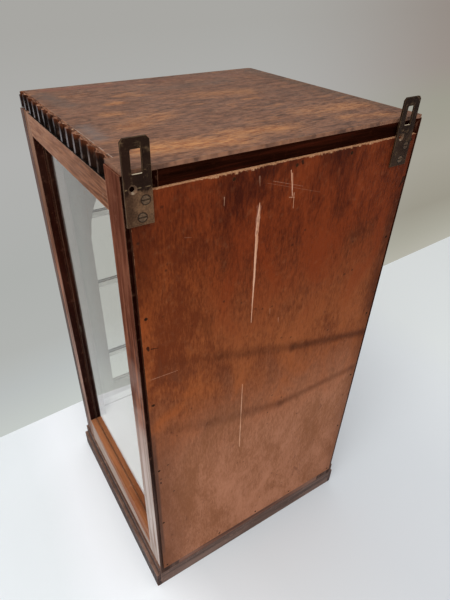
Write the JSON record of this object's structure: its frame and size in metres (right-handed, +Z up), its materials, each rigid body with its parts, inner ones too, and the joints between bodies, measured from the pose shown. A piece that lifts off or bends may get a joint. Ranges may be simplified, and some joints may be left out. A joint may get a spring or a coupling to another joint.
{
  "type": "hanging cabinet",
  "caption": "Tall wall cabinet with glazed sides, fluted cornice, stepped plinth, pinned plywood back and slotted hanging plates; its arch-headed door of four panes swings on butt hinges.",
  "frame": {"origin": "middle of the bounding box on the ground, midway from the knob to the hanging plates", "axes": "+Z up; the door faces -Y and the hanging plates face +Y; +X is to the right as seen from the front"},
  "size_m": [0.3038, 0.2874, 0.5815],
  "materials": {
    "base_wood": "worn dark stain",
    "plinth_wood": "worn dark stain, scuffed pale on the steps",
    "post_wood": "faded reddish stain",
    "rail_wood": "faded reddish stain",
    "clear_glass": "old clear sheet, polished",
    "inner_wood": "dark stain",
    "top_wood": "weathered dark stain",
    "frieze_wood": "ebonised, rubbed through at the arrises",
    "panel_plywood": "red-brown stained plywood, scratched",
    "pin_steel": "rusted",
    "plate_brass": "tarnished",
    "screw_steel": "dulled",
    "catch_block": "matt",
    "hinge_brass": "dulled",
    "door_wood": "dark reddish stain",
    "knob_brass": "handled bright",
    "strike_steel": "zinc plated"
  },
  "bodies": {
    "cabinet": {"base_front": "base_wood", "base_rear": "base_wood", "base_left": "base_wood", "base_right": "base_wood", "plinth_front": "plinth_wood", "plinth_left": "plinth_wood", "plinth_right": "plinth_wood", "rear_post_left": "post_wood", "rear_post_right": "post_wood", "front_post_left": "post_wood", "front_post_right": "post_wood", "side_top_rail_left": "rail_wood", "side_top_rail_right": "rail_wood", "side_bottom_rail_left": "rail_wood", "side_bottom_rail_right": "rail_wood", "rear_top_rail": "rail_wood", "rear_bottom_rail": "rail_wood", "front_top_rail": "rail_wood", "front_bottom_rail": "rail_wood", "side_glass_left": "clear_glass", "side_glass_right": "clear_glass", "floor_board": "inner_wood", "top_board": "top_wood", "frieze_front": "frieze_wood", "frieze_left": "frieze_wood", "frieze_right": "frieze_wood", "back_panel": "panel_plywood", "back_panel_pins": "pin_steel", "hanger_left": "plate_brass", "hanger_right": "plate_brass", "hanger_screws": "screw_steel", "catch_screws": "screw_steel", "magnet_catch": "catch_block", "hinge_frame_leaf_upper": "hinge_brass", "hinge_frame_leaf_lower": "hinge_brass", "hinge_pin_upper": "hinge_brass", "hinge_pin_lower": "hinge_brass", "hinge_frame_screws": "hinge_brass"},
    "door": {"door_hinge_stile": "door_wood", "door_lock_stile": "door_wood", "door_top_rail": "door_wood", "door_bottom_rail": "door_wood", "glazing_bar_lower": "door_wood", "glazing_bar_middle": "door_wood", "glazing_bar_upper": "door_wood", "door_pane_bottom": "clear_glass", "door_pane_lower": "clear_glass", "door_pane_upper": "clear_glass", "door_pane_top": "clear_glass", "door_knob": "knob_brass", "knob_screw": "knob_brass", "strike_plate": "strike_steel", "strike_screws": "screw_steel", "hinge_door_leaf_upper": "hinge_brass", "hinge_door_leaf_lower": "hinge_brass", "hinge_door_screws": "hinge_brass"}
  },
  "joints": [
    {"name": "door_hinge", "type": "hinge", "parent": "cabinet", "child": "door", "pos_m": [-0.1487, -0.1144, 0.2948], "axis": [0, 0, -1], "range_deg": [0, 115]}
  ]
}
